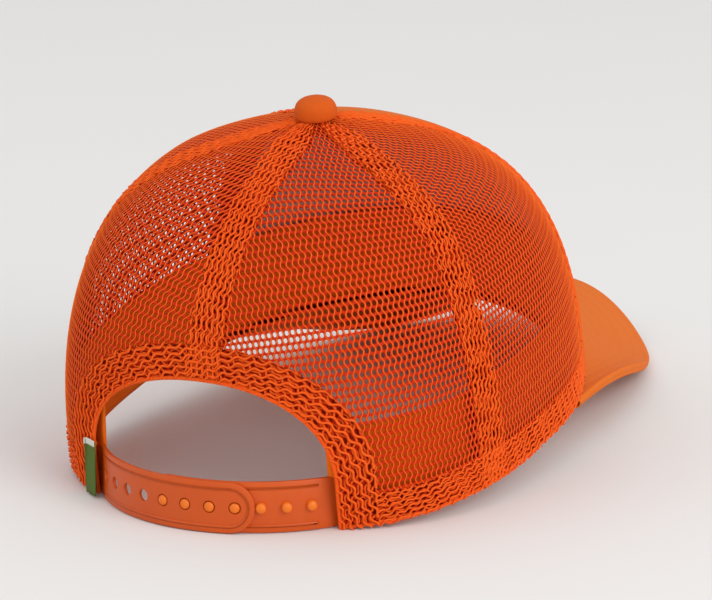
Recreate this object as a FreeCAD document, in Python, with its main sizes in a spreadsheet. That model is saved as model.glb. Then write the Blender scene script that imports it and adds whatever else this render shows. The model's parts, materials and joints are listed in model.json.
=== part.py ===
import FreeCAD, Part
import Sketcher
import functools
import math
import os

from FreeCAD import Placement, Rotation, Vector

# Trucker mesh cap, in millimetres.
# The cap is drawn upright about its own head opening: the rim lies in z = 0, the back of the head is
# towards +Y, the peak towards -Y and the wearer's right towards -X. Azimuths are in degrees from +X,
# so 90 is the back centre seam. Cloth pieces are layers counted inwards from the crown's outer face.
# The finished cap is then leaned back until it rests on its back hem and on the edge of its peak.

SIZES = (
    # crown form
    ("crown_length", 204.0),
    ("crown_width", 162.0),
    ("crown_height", 108.0),
    ("front_rim_rise", 7.0),
    ("apex_setback", 5.7),
    ("back_squareness", 2.8),
    ("front_squareness", 1.95),
    ("back_fall", 0.62),
    ("front_fall", 0.9),
    ("side_fall", 0.31),
    ("shoulder", 0.8),
    ("cone_share", 0.185),
    # cloth layers and seams
    ("front_half_angle", 60.0),
    ("rear_half_angle", 60.0),
    ("panel_thickness", 0.9),
    ("band_thickness", 0.9),
    ("layer_gap", 0.1),
    ("seam_gap", 0.2),
    ("seam_band_width", 12.0),
    ("hem_height", 12.0),
    ("sweatband_height", 34.0),
    ("sweatband_thickness", 1.2),
    ("sweatband_overhang", 2.0),
    # back opening
    ("arch_half_width", 45.0),
    ("arch_height", 47.5),
    ("arch_leg", 14.0),
    ("binding_width", 11.0),
    # snap strap
    ("strap_height", 17.0),
    ("strap_clearance", 0.3),
    ("strap_bulge", 24.0),
    ("strap_thickness", 1.3),
    ("strap_gap", 0.1),
    ("strap_end_margin", 6.3),
    ("strap_end_flat", 0.8),
    ("tail_length", 14.0),
    ("tail_setback", 2.2),
    ("hinge_gap", 2.0),
    ("snap_pitch", 8.5),
    ("snap_offset", -4.6),
    ("engaged_snaps", 4.0),
    ("peg_base_radius", 1.6),
    ("peg_tip_radius", 1.0),
    ("peg_height", 1.75),
    ("hole_radius", 2.3),
    # peak
    ("peak_corner_angle", 18.0),
    ("peak_reach", 162.0),
    ("peak_squareness", 2.15),
    ("peak_tip_drop", 22.0),
    ("peak_side_dip", 20.0),
    ("board_thickness", 1.6),
    ("peak_cloth_thickness", 0.8),
    ("board_margin", 1.2),
    # button and label
    ("button_diameter", 14.0),
    ("button_height", 5.5),
    ("button_side", 1.6),
    ("rivet_diameter", 2.6),
    ("rivet_disc_diameter", 16.0),
    ("rivet_disc_thickness", 1.0),
    ("apex_hole_diameter", 5.0),
    ("label_width", 8.5),
    ("label_height", 18.5),
    ("label_lift", 0.8),
    ("label_thickness", 0.7),
)

doc = FreeCAD.newDocument("trucker_cap")
sheet = doc.addObject("Spreadsheet::Sheet", "sizes")
for row, (name, value) in enumerate(SIZES, start=1):
    sheet.set("A%d" % row, name)
    sheet.set("B%d" % row, str(value))
    sheet.setAlias("B%d" % row, name)
doc.recompute()

BACK = 90.0
FRONT = 270.0
FULL_TURN = 360.0
nodes = []


@functools.lru_cache(maxsize=None)
def size(name):
    return float(sheet.get(name))


# ---------------------------------------------------------------- crown form

def rim_reach(azimuth):
    """Distance from the head's axis to the rim: a superellipse, squarer at the back than in front."""
    c = math.cos(math.radians(azimuth))
    s = math.sin(math.radians(azimuth))
    power = size("back_squareness") if s > 0 else size("front_squareness")
    across = abs(c) / (size("crown_width") / 2)
    along = abs(s) / (size("crown_length") / 2)
    return (across ** power + along ** power) ** (-1 / power)


def crown_profile(azimuth, climb):
    """Share of the rim's reach and of the crown's height, for a climb from 0 at the rim to 1 at the apex."""
    c = math.cos(math.radians(azimuth))
    s = math.sin(math.radians(azimuth))
    end_fall = size("back_fall") if s > 0 else size("front_fall")
    fall = end_fall * s ** 2 + size("side_fall") * c ** 2
    turn = math.pi / 2 * (1 - (1 - climb ** 2) ** 3)
    share = max(math.cos(turn), 0.0) ** fall
    cone = size("cone_share")
    lift = (1 - cone) * math.sin(turn) ** size("shoulder") + cone * (1 - share)
    return share, lift


def rim_rise(azimuth):
    """The rim climbs a little over the forehead."""
    ahead = max(-math.sin(math.radians(azimuth)), 0.0)
    return size("front_rim_rise") * ahead ** 2


def crown_point(azimuth, climb):
    """A point of the crown's outer face."""
    share, lift = crown_profile(azimuth, climb)
    reach = rim_reach(azimuth) * share
    rise = rim_rise(azimuth)
    x = reach * math.cos(math.radians(azimuth))
    y = reach * math.sin(math.radians(azimuth)) + size("apex_setback") * lift
    return Vector(x, y, rise + (size("crown_height") - rise) * lift)


def crown_layer(azimuth, climb, inset):
    """A point that lies the given distance inside the crown's outer face."""
    step = 0.004
    low = min(climb, 1 - 2 * step)
    around = crown_point(azimuth + 0.2, low) - crown_point(azimuth - 0.2, low)
    upward = crown_point(azimuth, low + step) - crown_point(azimuth, low)
    return crown_point(azimuth, climb) - around.cross(upward).normalize() * inset


def solve(rising, target, low, high):
    """Where a rising function reaches the target."""
    for _ in range(40):
        middle = (low + high) / 2
        if rising(middle) < target:
            low = middle
        else:
            high = middle
    return (low + high) / 2


def climb_at_height(azimuth, height):
    rim = crown_point(azimuth, 0).z
    return solve(lambda climb: crown_point(azimuth, climb).z - rim, height, 0.0, 1.0)


def climb_at_radius(azimuth, radius):
    reach = rim_reach(azimuth)
    return solve(lambda climb: -reach * crown_profile(azimuth, climb)[0], -radius, 0.0, 1.0)


def rear_azimuth(x):
    """Azimuth on the rim, behind the head, at the given distance to the wearer's left."""
    return BACK - solve(lambda turn: crown_point(BACK - turn, 0).x, x, 0.0, 89.0)


# ---------------------------------------------------------------- thin sheets

def spline_face(rows):
    surface = Part.BSplineSurface()
    surface.interpolate(rows)
    return surface


def border(surface):
    """The four boundary curves of a surface patch, as edges."""
    u0, u1, v0, v1 = surface.bounds()
    curves = (surface.vIso(v0), surface.uIso(u1), surface.vIso(v1), surface.uIso(u0))
    return [curve.toShape() for curve in curves]


def sheet_solid(point, columns, rows, near, far):
    """A thin solid between two depths; point(u, v, depth) gives the surfaces, u and v from 0 to 1."""
    surfaces = []
    for depth in (near, far):
        grid = [[point(i / columns, j / rows, depth) for j in range(rows + 1)] for i in range(columns + 1)]
        surfaces.append(spline_face(grid))
    faces = [surface.toShape() for surface in surfaces]
    for edge, mate in zip(border(surfaces[0]), border(surfaces[1])):
        faces.append(Part.makeRuledSurface(edge, mate))
    shell = Part.makeShell(faces)
    shell.sewShape()
    solid = Part.makeSolid(Part.Shell(shell.Faces))
    if solid.Volume < 0:
        solid.reverse()
    return solid


def crown_cloth(start, end, low, high, near, far, grid=(14, 16)):
    """
    A piece of cloth on the crown, between two side edges.
    start and end are (azimuth, offset in mm towards +azimuth); low is a height above the rim and
    high is ("height", mm above the rim) or ("radius", mm from the apex).
    """
    kind, limit = high
    finish = climb_at_height if kind == "height" else climb_at_radius
    columns, rows = grid
    table = []
    for i in range(columns + 1):
        azimuth = start[0] + (end[0] - start[0]) * i / columns
        bottom = climb_at_height(azimuth, low) if low > 0 else 0.0
        table.append((bottom, finish(azimuth, limit)))

    def point(u, v, depth):
        bottom, top = table[round(u * columns)]
        climb = bottom + (top - bottom) * v
        azimuth = start[0] + (end[0] - start[0]) * u
        offset = start[1] + (end[1] - start[1]) * u
        if offset:
            height = crown_point(azimuth, climb).z - rim_rise(azimuth)
            radius = rim_reach(azimuth) * crown_profile(azimuth, climb)[0]
            azimuth += math.degrees(math.atan(offset / radius))
            climb = climb_at_height(azimuth, height)
        return crown_layer(azimuth, climb, depth)

    return sheet_solid(point, columns, rows, near, far)


def add_cloth(name, shape):
    """Put a cloth piece into the document as a sub-part."""
    piece = doc.addObject("Part::Feature", name)
    piece.Label = name
    piece.Shape = shape
    nodes.append(piece)
    return piece


# ---------------------------------------------------------------- where the layers lie

PANEL = (0.0, size("panel_thickness"))
BAND = (PANEL[1] + size("layer_gap"), PANEL[1] + size("layer_gap") + size("band_thickness"))
STRAP_FACE = BAND[1] + size("layer_gap")
PEG_STRAP_FACE = STRAP_FACE + size("strap_thickness") + size("strap_gap")
BAND_DEPTH = PEG_STRAP_FACE + size("strap_thickness") + size("layer_gap")
SWEATBAND = (BAND_DEPTH, BAND_DEPTH + size("sweatband_thickness"))
FRONT_RIGHT = FRONT - size("front_half_angle")
FRONT_LEFT = FRONT + size("front_half_angle") - FULL_TURN
REAR_RIGHT = BACK + size("rear_half_angle")
REAR_LEFT = BACK - size("rear_half_angle")
APEX_HOLE = size("apex_hole_diameter") / 2
DISC_RADIUS = size("rivet_disc_diameter") / 2
HALF_SEAM = size("seam_gap") / 2
HALF_BAND = size("seam_band_width") / 2
BAND_END = DISC_RADIUS + HALF_BAND
SPARE_TURN = 12.0


def arch_prism(grow):
    """The back opening, grown by a margin, as a bar that runs through the back of the crown."""
    half = size("arch_half_width") + grow
    leg = size("arch_leg")
    crest = size("arch_height") - leg + grow
    depth = -size("crown_height") / 2
    steps = 16
    turns = [math.pi * i / steps for i in range(steps + 1)]
    curve = Part.BSplineCurve()
    curve.interpolate([Vector(half * math.cos(turn), 0, leg + crest * math.sin(turn)) for turn in turns])
    corners = [Vector(-half, 0, leg), Vector(-half, 0, depth), Vector(half, 0, depth), Vector(half, 0, leg)]
    edges = [curve.toShape()]
    for first, second in zip(corners, corners[1:]):
        edges.append(Part.LineSegment(first, second).toShape())
    profile = Part.Face(Part.Wire(edges))
    profile.translate(Vector(0, size("crown_length") / 8, 0))
    return profile.extrude(Vector(0, size("crown_length"), 0))


# ---------------------------------------------------------------- crown pieces

def make_panels():
    top = ("radius", APEX_HOLE)
    front = crown_cloth((FRONT_RIGHT, HALF_SEAM), (FRONT_LEFT + FULL_TURN, -HALF_SEAM), 0, top, *PANEL)
    add_cloth("front_panel", front)
    sides = (
        ("side_panel_right", REAR_RIGHT, FRONT_RIGHT),
        ("side_panel_left", FRONT_LEFT, REAR_LEFT),
    )
    for name, start, end in sides:
        add_cloth(name, crown_cloth((start, HALF_SEAM), (end, -HALF_SEAM), 0, top, *PANEL))
    rears = (
        ("rear_panel_right", BACK, REAR_RIGHT),
        ("rear_panel_left", REAR_LEFT, BACK),
    )
    opening = arch_prism(0)
    for name, start, end in rears:
        panel = crown_cloth((start, HALF_SEAM), (end, -HALF_SEAM), 0, top, *PANEL)
        add_cloth(name, panel.cut(opening))


def make_front_lining():
    """The stiff buckram behind the front panel, between the two front seam bands."""
    edge = HALF_BAND + size("layer_gap")
    start = (FRONT_RIGHT, edge)
    end = (FRONT_LEFT + FULL_TURN, -edge)
    add_cloth("front_lining", crown_cloth(start, end, size("layer_gap"), ("radius", BAND_END), *BAND))


def make_seam_bands():
    """Folded seam allowances, on the inside of each seam, from the hem or the arch to the button."""
    base = size("hem_height") + size("layer_gap")
    clear = arch_prism(size("binding_width") + size("layer_gap"))
    bands = (
        ("seam_band_back", BACK, size("arch_height")),
        ("seam_band_rear_right", REAR_RIGHT, base),
        ("seam_band_rear_left", REAR_LEFT, base),
        ("seam_band_front_right", FRONT_RIGHT, base),
        ("seam_band_front_left", FRONT_LEFT, base),
    )
    for name, azimuth, low in bands:
        start = (azimuth, -HALF_BAND)
        end = (azimuth, HALF_BAND)
        band = crown_cloth(start, end, low, ("radius", BAND_END), *BAND, grid=(4, 16))
        add_cloth(name, band.cut(clear))


def make_hems():
    """The folded bottom edge of the mesh, from the arch binding to the front seam."""
    clear = arch_prism(size("binding_width") + size("layer_gap"))
    top = ("height", size("hem_height"))
    hems = (
        ("rim_hem_right", (BACK, 0), (FRONT_RIGHT, HALF_BAND)),
        ("rim_hem_left", (FRONT_LEFT, -HALF_BAND), (BACK, 0)),
    )
    for name, start, end in hems:
        hem = crown_cloth(start, end, size("layer_gap"), top, *BAND, grid=(20, 4))
        add_cloth(name, hem.cut(clear))


def make_arch_binding():
    """The folded mesh edge round the back opening."""
    turn = BACK - rear_azimuth(size("arch_half_width") + size("binding_width")) + SPARE_TURN
    top = ("height", size("arch_height") + 2 * size("binding_width"))
    start = (BACK - turn, 0)
    end = (BACK + turn, 0)
    band = crown_cloth(start, end, size("layer_gap"), top, *BAND, grid=(20, 10))
    ring = arch_prism(size("binding_width")).cut(arch_prism(0))
    add_cloth("arch_binding", band.common(ring))


def make_sweatband():
    """One band round the inside, open at the arch; its left end shows past the binding."""
    inner = rear_azimuth(size("arch_half_width") / 2)
    start = (FULL_TURN / 2 - inner, 0)
    end = (FULL_TURN + inner, 0)
    top = ("height", size("sweatband_height"))
    band = crown_cloth(start, end, size("layer_gap"), top, *SWEATBAND, grid=(48, 6))
    opening = arch_prism(0)
    opening.translate(Vector(-size("sweatband_overhang"), 0, 0))
    add_cloth("sweatband", band.cut(opening))


def make_label():
    """A bare woven tab on the left side of the arch, level with the strap."""
    edge = rear_azimuth(size("arch_half_width"))
    low = size("label_lift")
    start = (edge, -size("label_width"))
    top = ("height", low + size("label_height"))
    outer = -size("layer_gap") - size("label_thickness")
    tab = crown_cloth(start, (edge, 0), low, top, outer, -size("layer_gap"), grid=(4, 6))
    add_cloth("label_tab", tab)


# ---------------------------------------------------------------- peak

PEAK_RIGHT = FULL_TURN / 2 + size("peak_corner_angle")
PEAK_LEFT = FULL_TURN - size("peak_corner_angle")
PEAK_CLOTH = size("peak_cloth_thickness")
BOARD_TOP = PEAK_CLOTH + size("layer_gap")
UNDER_TOP = BOARD_TOP + size("board_thickness") + size("layer_gap")
PEAK_GRID = (40, 8)


def peak_edge(turn):
    """Outer edge of the peak; turn runs from -90 at the right corner to 90 at the left."""
    corner = crown_point(PEAK_LEFT, 0)
    s = math.sin(math.radians(turn))
    c = math.cos(math.radians(turn))
    power = 2 / size("peak_squareness")
    x = corner.x * math.copysign(abs(s) ** power, s)
    y = corner.y - size("peak_reach") * max(c, 0.0) ** power
    middle = -size("peak_tip_drop") * c ** 2 + (corner.z - size("layer_gap")) * s ** 2
    fold = math.sin(math.radians(2 * turn))
    return Vector(x, y, middle - size("peak_side_dip") * fold ** 2)


def peak_root(share):
    """Inner edge of the peak, tucked under the crown's rim as far as the sweatband."""
    azimuth = PEAK_RIGHT + (PEAK_LEFT - PEAK_RIGHT) * share
    root = crown_layer(azimuth, 0, BAND_DEPTH - size("layer_gap"))
    return root - Vector(0, 0, size("layer_gap"))


def peak_top(across, outward):
    root = peak_root(across)
    return root + (peak_edge(180 * across - 90) - root) * outward


def peak_layer(across, outward, depth):
    """A point of the peak below its top face, along the face's normal."""
    step = 0.01
    side = min(max(across, step), 1 - step)
    run = peak_top(side + step, outward) - peak_top(side - step, outward)
    fall = peak_top(side, 1) - peak_top(side, 0)
    return peak_top(across, outward) + run.cross(fall).normalize() * depth


def peak_sheet(near, far, margin):
    """One layer of the peak; the margin keeps it back from the sewn edge."""

    def point(u, v, depth):
        inset = margin / (peak_edge(0) - peak_root(0.5)).Length
        across = inset + (1 - 2 * inset) * u
        length = (peak_edge(180 * across - 90) - peak_root(across)).Length
        return peak_layer(across, v * (1 - margin / length), depth)

    return sheet_solid(point, *PEAK_GRID, near, far)


def make_peak():
    add_cloth("peak_top_cloth", peak_sheet(0, PEAK_CLOTH, 0))
    add_cloth("peak_board", peak_sheet(BOARD_TOP, BOARD_TOP + size("board_thickness"), size("board_margin")))
    add_cloth("peak_under_cloth", peak_sheet(UNDER_TOP, UNDER_TOP + PEAK_CLOTH, 0))


# ---------------------------------------------------------------- how the cap rests

HEM_CORNER = crown_point(rear_azimuth(size("arch_half_width")), 0)


def resting_lean():
    """The lean, in degrees, that brings the peak's edge down to the floor with the hem corners."""
    steepest = 0.0
    for i in range(101):
        foot = peak_layer(i / 100, 1, UNDER_TOP + PEAK_CLOTH)
        steepest = max(steepest, math.degrees(math.atan2(-foot.z, HEM_CORNER.y - foot.y)))
    return steepest


LEAN = resting_lean()


# ---------------------------------------------------------------- snap strap

def layer_corner(inset):
    return crown_layer(rear_azimuth(size("arch_half_width")), 0, inset)


def strap_circle():
    """Radius of the strap's outer face and how far behind the head's axis its centre lies."""
    corner = layer_corner(STRAP_FACE)
    bulge = size("strap_bulge")
    radius = (corner.x ** 2 + bulge ** 2) / (2 * bulge)
    return radius, corner.y + bulge - radius


def derive(name, value):
    """Keep a worked-out size in the sheet, under the driving sizes."""
    row = len(SIZES) + 1
    while sheet.getContents("A%d" % row):
        row += 1
    sheet.set("A%d" % row, name)
    sheet.set("B%d" % row, repr(value))
    sheet.setAlias("B%d" % row, name)


STRAP_RADIUS, STRAP_CENTRE = strap_circle()
STRAP_BASE = size("strap_clearance")
HEM_LINE = Vector(0, HEM_CORNER.y, 0)
UPRIGHT = Placement(Vector(), Rotation(Vector(1, 0, 0), LEAN), HEM_LINE)
HINGE_X = size("arch_half_width") - size("hinge_gap")
STRAP_REACH = STRAP_RADIUS * math.asin(HINGE_X / STRAP_RADIUS)
SNAPS = round(size("engaged_snaps"))
FIRST_SNAP = -size("snap_offset") - (SNAPS - 1) / 2 * size("snap_pitch")
LAST_SNAP = FIRST_SNAP + (SNAPS - 1) * size("snap_pitch")
LAND = size("hole_radius") + size("strap_thickness") / 2
SPARE_HOLES = int((STRAP_REACH + FIRST_SNAP - LAND) / size("snap_pitch"))
SPARE_PEGS = int((STRAP_REACH - LAST_SNAP - LAND) / size("snap_pitch"))


def along_strap(arc):
    """The angle, from straight behind the head towards the wearer's right, of a length along the strap."""
    return math.degrees(arc / STRAP_RADIUS)


def derive_sizes():
    """Worked-out sizes that the sketches below are bound to."""
    peg_face = STRAP_RADIUS - size("strap_thickness") - size("strap_gap")
    first_hole = FIRST_SNAP - SPARE_HOLES * size("snap_pitch")
    derive("hole_strap_face", STRAP_RADIUS)
    derive("hole_strap_start", BACK + along_strap(-STRAP_REACH - first_hole))
    derive("hole_strap_end", BACK + along_strap(LAST_SNAP + size("strap_end_margin") - first_hole))
    derive("hole_run", along_strap((SNAPS + SPARE_HOLES - 1) * size("snap_pitch")))
    derive("peg_strap_face", peg_face)
    derive("peg_strap_start", BACK + along_strap(-size("strap_end_margin")))
    derive("peg_strap_end", BACK + along_strap(STRAP_REACH - FIRST_SNAP))
    derive("peg_run", along_strap((SNAPS + SPARE_PEGS - 1) * size("snap_pitch")))
    derive("peg_root", size("strap_thickness") / 2)
    slope = (size("peg_base_radius") - size("peg_tip_radius")) / size("peg_height")
    derive("peg_taper", -math.degrees(math.atan(slope)))
    derive("peg_root_radius", size("peg_base_radius") + slope * size("strap_thickness") / 2)
    derive("end_round", (size("strap_height") - size("strap_end_flat")) / 2)
    drop = crown_drop(size("button_diameter") / 2, min)
    derive("button_underside", size("layer_gap"))
    derive("button_rim", size("layer_gap") - drop)
    derive("shank_top", -drop * size("rivet_diameter") / size("button_diameter"))
    disc_depth = crown_drop(DISC_RADIUS, max) + BAND[1] + 4 * size("layer_gap")
    derive("disc_top", -disc_depth)
    derive("disc_bottom", -disc_depth - size("rivet_disc_thickness"))
    doc.recompute()


def crown_drop(radius, choose):
    """How far the crown has fallen from its apex at a radius, on its flattest or steepest side."""
    drops = []
    for azimuth in range(0, 360, 15):
        point = crown_point(azimuth, climb_at_radius(azimuth, radius))
        drops.append(size("crown_height") - point.z)
    return choose(drops)


def new_body(name, place):
    body = doc.addObject("PartDesign::Body", name)
    body.Label = name
    body.Placement = place
    nodes.append(body)
    return body


def origin_feature(body, role):
    return next(feature for feature in body.Origin.OriginFeatures if feature.Role == role)


def new_sketch(body, name, plane):
    sketch = body.newObject("Sketcher::SketchObject", name)
    sketch.AttachmentSupport = (origin_feature(body, plane), "")
    sketch.MapMode = "FlatFace"
    return sketch


def bind(sketch, constraint, name, expression):
    """Add a constraint, name it and bind it to the sheet."""
    index = sketch.addConstraint(constraint)
    sketch.renameConstraint(index, name)
    sketch.setExpression("Constraints." + name, expression)


def sector_sketch(body, name, face, start, end):
    """A curved bar seen from above, between two radii and two angles from +X."""
    sketch = new_sketch(body, name, "XY_Plane")
    outer = size(face)
    inner = outer - size("strap_thickness")
    first = math.radians(size(start))
    last = math.radians(size(end))
    centre = Vector(0, 0, 0)
    up = Vector(0, 0, 1)
    sketch.addGeometry(Part.ArcOfCircle(Part.Circle(centre, up, outer), first, last))
    sketch.addGeometry(Part.ArcOfCircle(Part.Circle(centre, up, inner), first, last))
    for angle in (first, last):
        ray = Vector(math.cos(angle), math.sin(angle), 0)
        sketch.addGeometry(Part.LineSegment(ray * inner, ray * outer))
    for arc in (0, 1):
        sketch.addConstraint(Sketcher.Constraint("Coincident", arc, 3, -1, 1))
    for line, arc_end in ((2, 1), (3, 2)):
        sketch.addConstraint(Sketcher.Constraint("Coincident", line, 1, 1, arc_end))
        sketch.addConstraint(Sketcher.Constraint("Coincident", line, 2, 0, arc_end))
    bind(sketch, Sketcher.Constraint("Radius", 0, outer), "outer_radius", "sizes." + face)
    bind(sketch, Sketcher.Constraint("Radius", 1, inner), "inner_radius",
         "sizes.%s - sizes.strap_thickness" % face)
    bind(sketch, Sketcher.Constraint("Angle", 2, first), "start_angle", "sizes.%s * 1deg" % start)
    bind(sketch, Sketcher.Constraint("Angle", 3, last), "end_angle", "sizes.%s * 1deg" % end)
    return sketch


def strap_bar(body, face, start, end, free_end):
    """The strap half itself: a curved bar whose free end is rounded."""
    sketch = sector_sketch(body, body.Name + "_outline", face, start, end)
    pad = body.newObject("PartDesign::Pad", body.Name + "_bar")
    pad.Profile = sketch
    pad.setExpression("Length", "sizes.strap_height")
    doc.recompute()
    angle = math.radians(size(free_end))
    across = Vector(-math.sin(angle), math.cos(angle), 0)
    rounded = []
    for number, edge in enumerate(pad.Shape.Edges, start=1):
        ends = [vertex.Point for vertex in edge.Vertexes]
        on_end = all(abs(point.dot(across)) < 0.01 for point in ends)
        if on_end and abs(ends[0].z - ends[1].z) < 0.01:
            rounded.append("Edge%d" % number)
    fillet = body.newObject("PartDesign::Fillet", body.Name + "_rounding")
    fillet.Base = (pad, rounded)
    fillet.setExpression("Radius", "sizes.end_round")
    doc.recompute()
    return fillet


def snap_circle(body, name, radius, stand_off):
    """A circle at mid height, straight behind the strap's centre."""
    sketch = new_sketch(body, name, "XZ_Plane")
    sketch.AttachmentOffset = Placement(Vector(0, 0, -stand_off), Rotation())
    middle = size("strap_height") / 2
    sketch.addGeometry(Part.Circle(Vector(0, middle, 0), Vector(0, 0, 1), size(radius)))
    sketch.addConstraint(Sketcher.Constraint("PointOnObject", 0, 3, -2))
    bind(sketch, Sketcher.Constraint("DistanceY", -1, 1, 0, 3, middle), "mid_height",
         "sizes.strap_height / 2")
    bind(sketch, Sketcher.Constraint("Radius", 0, size(radius)), "snap_radius", "sizes." + radius)
    return sketch


def row_of(body, feature, run, count):
    """Repeat a snap feature round the strap."""
    pattern = body.newObject("PartDesign::PolarPattern", body.Name + "_row")
    pattern.Originals = [feature]
    pattern.Axis = (origin_feature(body, "Z_Axis"), [""])
    pattern.setExpression("Angle", "sizes." + run)
    pattern.Occurrences = count
    body.Tip = pattern
    doc.recompute()
    return pattern


def strap_place(first_arc):
    """Where a strap half's own frame lies: its +Y points at its first snap.

    The strap hangs upright, so it is tipped by as much as the cap is leaned back later.
    """
    turn = Rotation(Vector(0, 0, 1), along_strap(first_arc))
    return UPRIGHT.multiply(Placement(Vector(0, STRAP_CENTRE, STRAP_BASE), turn))


def make_hole_strap():
    """Left half, outside, with the row of holes."""
    first = FIRST_SNAP - SPARE_HOLES * size("snap_pitch")
    body = new_body("strap_with_holes", strap_place(first))
    bar = strap_bar(body, "hole_strap_face", "hole_strap_start", "hole_strap_end", "hole_strap_end")
    sketch = snap_circle(body, "snap_hole", "hole_radius", 0)
    pocket = body.newObject("PartDesign::Pocket", "snap_hole_cut")
    pocket.Profile = sketch
    pocket.Type = "ThroughAll"
    doc.recompute()
    if pocket.Shape.Volume > bar.Shape.Volume - 1:
        raise RuntimeError("the snap hole missed the strap")
    row_of(body, pocket, "hole_run", SNAPS + SPARE_HOLES)


def make_peg_strap():
    """Right half, inside, with the row of pegs."""
    body = new_body("strap_with_pegs", strap_place(FIRST_SNAP))
    strap_bar(body, "peg_strap_face", "peg_strap_start", "peg_strap_end", "peg_strap_start")
    root = size("peg_strap_face") - size("peg_root")
    sketch = snap_circle(body, "snap_peg", "peg_root_radius", root)
    peg = body.newObject("PartDesign::Pad", "snap_peg_pad")
    peg.Profile = sketch
    peg.Reversed = True
    peg.setExpression("Length", "sizes.peg_height + sizes.peg_root")
    peg.setExpression("TaperAngle", "sizes.peg_taper * 1deg")
    doc.recompute()
    row_of(body, peg, "peg_run", SNAPS + SPARE_PEGS)


def make_strap_tails():
    """The sewn-in ends of the two strap halves, inside the arch binding."""
    edge = rear_azimuth(size("arch_half_width"))
    mirrored = FULL_TURN / 2 - edge
    near = size("tail_setback")
    length = near + size("tail_length")
    top = ("height", STRAP_BASE + size("strap_height"))
    tails = (
        ("strap_tail_left", (edge, -length), (edge, -near), STRAP_FACE),
        ("strap_tail_right", (mirrored, near), (mirrored, length), PEG_STRAP_FACE),
    )
    for name, start, end, face in tails:
        far = face + size("strap_thickness")
        add_cloth(name, crown_cloth(start, end, STRAP_BASE, top, face, far, grid=(6, 4)))


# ---------------------------------------------------------------- button

def profile_sketch(body, name, points, bound, arc_from=None):
    """A closed half section in XZ; bound gives each point's (x, z) expressions."""
    sketch = new_sketch(body, name, "XZ_Plane")
    count = len(points)
    for i, point in enumerate(points):
        mate = points[(i + 1) % count]
        if i == arc_from:
            rise = mate[1] - point[1]
            radius = (point[0] ** 2 + rise ** 2) / (2 * rise)
            low = math.atan2(point[1] - mate[1] + radius, point[0])
            circle = Part.Circle(Vector(0, mate[1] - radius, 0), Vector(0, 0, 1), radius)
            sketch.addGeometry(Part.ArcOfCircle(circle, low, math.pi / 2))
            sketch.addConstraint(Sketcher.Constraint("PointOnObject", i, 3, -2))
        else:
            sketch.addGeometry(Part.LineSegment(Vector(*point, 0), Vector(*mate, 0)))
    for i in range(count):
        sketch.addConstraint(Sketcher.Constraint("Coincident", i, 2, (i + 1) % count, 1))
    for i, (across, up) in enumerate(bound):
        if across:
            bind(sketch, Sketcher.Constraint("DistanceX", -1, 1, i, 1, points[i][0]), "x%d" % i, across)
        else:
            sketch.addConstraint(Sketcher.Constraint("PointOnObject", i, 1, -2))
        bind(sketch, Sketcher.Constraint("DistanceY", -1, 1, i, 1, points[i][1]), "z%d" % i, up)
    return sketch


def revolve(body, sketch):
    revolution = body.newObject("PartDesign::Revolution", body.Name + "_turned")
    revolution.Profile = sketch
    revolution.ReferenceAxis = (sketch, ["V_Axis"])
    revolution.Angle = FULL_TURN
    doc.recompute()


def make_button():
    apex = Placement(Vector(0, size("apex_setback"), size("crown_height")), Rotation())
    body = new_body("button", apex)
    radius = size("button_diameter") / 2
    under = size("button_underside")
    rim = size("button_rim")
    points = ((0, under), (radius, rim), (radius, rim + size("button_side")), (0, size("button_height")))
    bound = (
        (None, "sizes.button_underside"),
        ("sizes.button_diameter / 2", "sizes.button_rim"),
        ("sizes.button_diameter / 2", "sizes.button_rim + sizes.button_side"),
        (None, "sizes.button_height"),
    )
    revolve(body, profile_sketch(body, "button_section", points, bound, arc_from=2))


def make_rivet():
    """The button's shank and the disc that it is riveted to, inside the crown."""
    apex = Placement(Vector(0, size("apex_setback"), size("crown_height")), Rotation())
    body = new_body("button_rivet", apex)
    shank = size("rivet_diameter") / 2
    top = size("disc_top")
    bottom = size("disc_bottom")
    head = size("shank_top")
    points = ((0, bottom), (DISC_RADIUS, bottom), (DISC_RADIUS, top), (shank, top), (shank, head), (0, head))
    disc = "sizes.rivet_disc_diameter / 2"
    pin = "sizes.rivet_diameter / 2"
    bound = (
        (None, "sizes.disc_bottom"),
        (disc, "sizes.disc_bottom"),
        (disc, "sizes.disc_top"),
        (pin, "sizes.disc_top"),
        (pin, "sizes.shank_top"),
        (None, "sizes.shank_top"),
    )
    revolve(body, profile_sketch(body, "rivet_section", points, bound))


# ---------------------------------------------------------------- the whole cap

def stand_on_floor():
    """Lean the cap back on its hem and peak, with the origin under the middle of its box."""
    lean = UPRIGHT.inverse()
    for node in nodes:
        node.Placement = lean.multiply(node.Placement)
    doc.recompute()
    corners = [corner for node in nodes for corner in node.Shape.tessellate(0.05)[0]]
    xs, ys, zs = zip(*corners)
    middle = Vector((min(xs) + max(xs)) / 2, (min(ys) + max(ys)) / 2, min(zs))
    for node in nodes:
        node.Placement = Placement(-middle, Rotation()).multiply(node.Placement)
    doc.recompute()
    return lean, middle


def check_shapes():
    for item in doc.Objects:
        if "Invalid" in item.State or "Error" in item.State:
            raise RuntimeError("%s failed: %s" % (item.Name, item.State))
    for node in nodes:
        if node.Shape.isNull() or not node.Shape.isValid():
            raise RuntimeError("%s has no valid shape" % node.Label)
        if node.Shape.Volume <= 0 or len(node.Shape.Solids) != 1:
            raise RuntimeError("%s is not one solid" % node.Label)


def hinge_line(side, face, middle):
    """A point on a strap half's bending line, at rest."""
    radius = face - size("strap_thickness") / 2
    y = STRAP_CENTRE + math.sqrt(radius ** 2 - HINGE_X ** 2)
    point = Vector(side * HINGE_X, y, STRAP_BASE + size("strap_height") / 2)
    return point - middle


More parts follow.
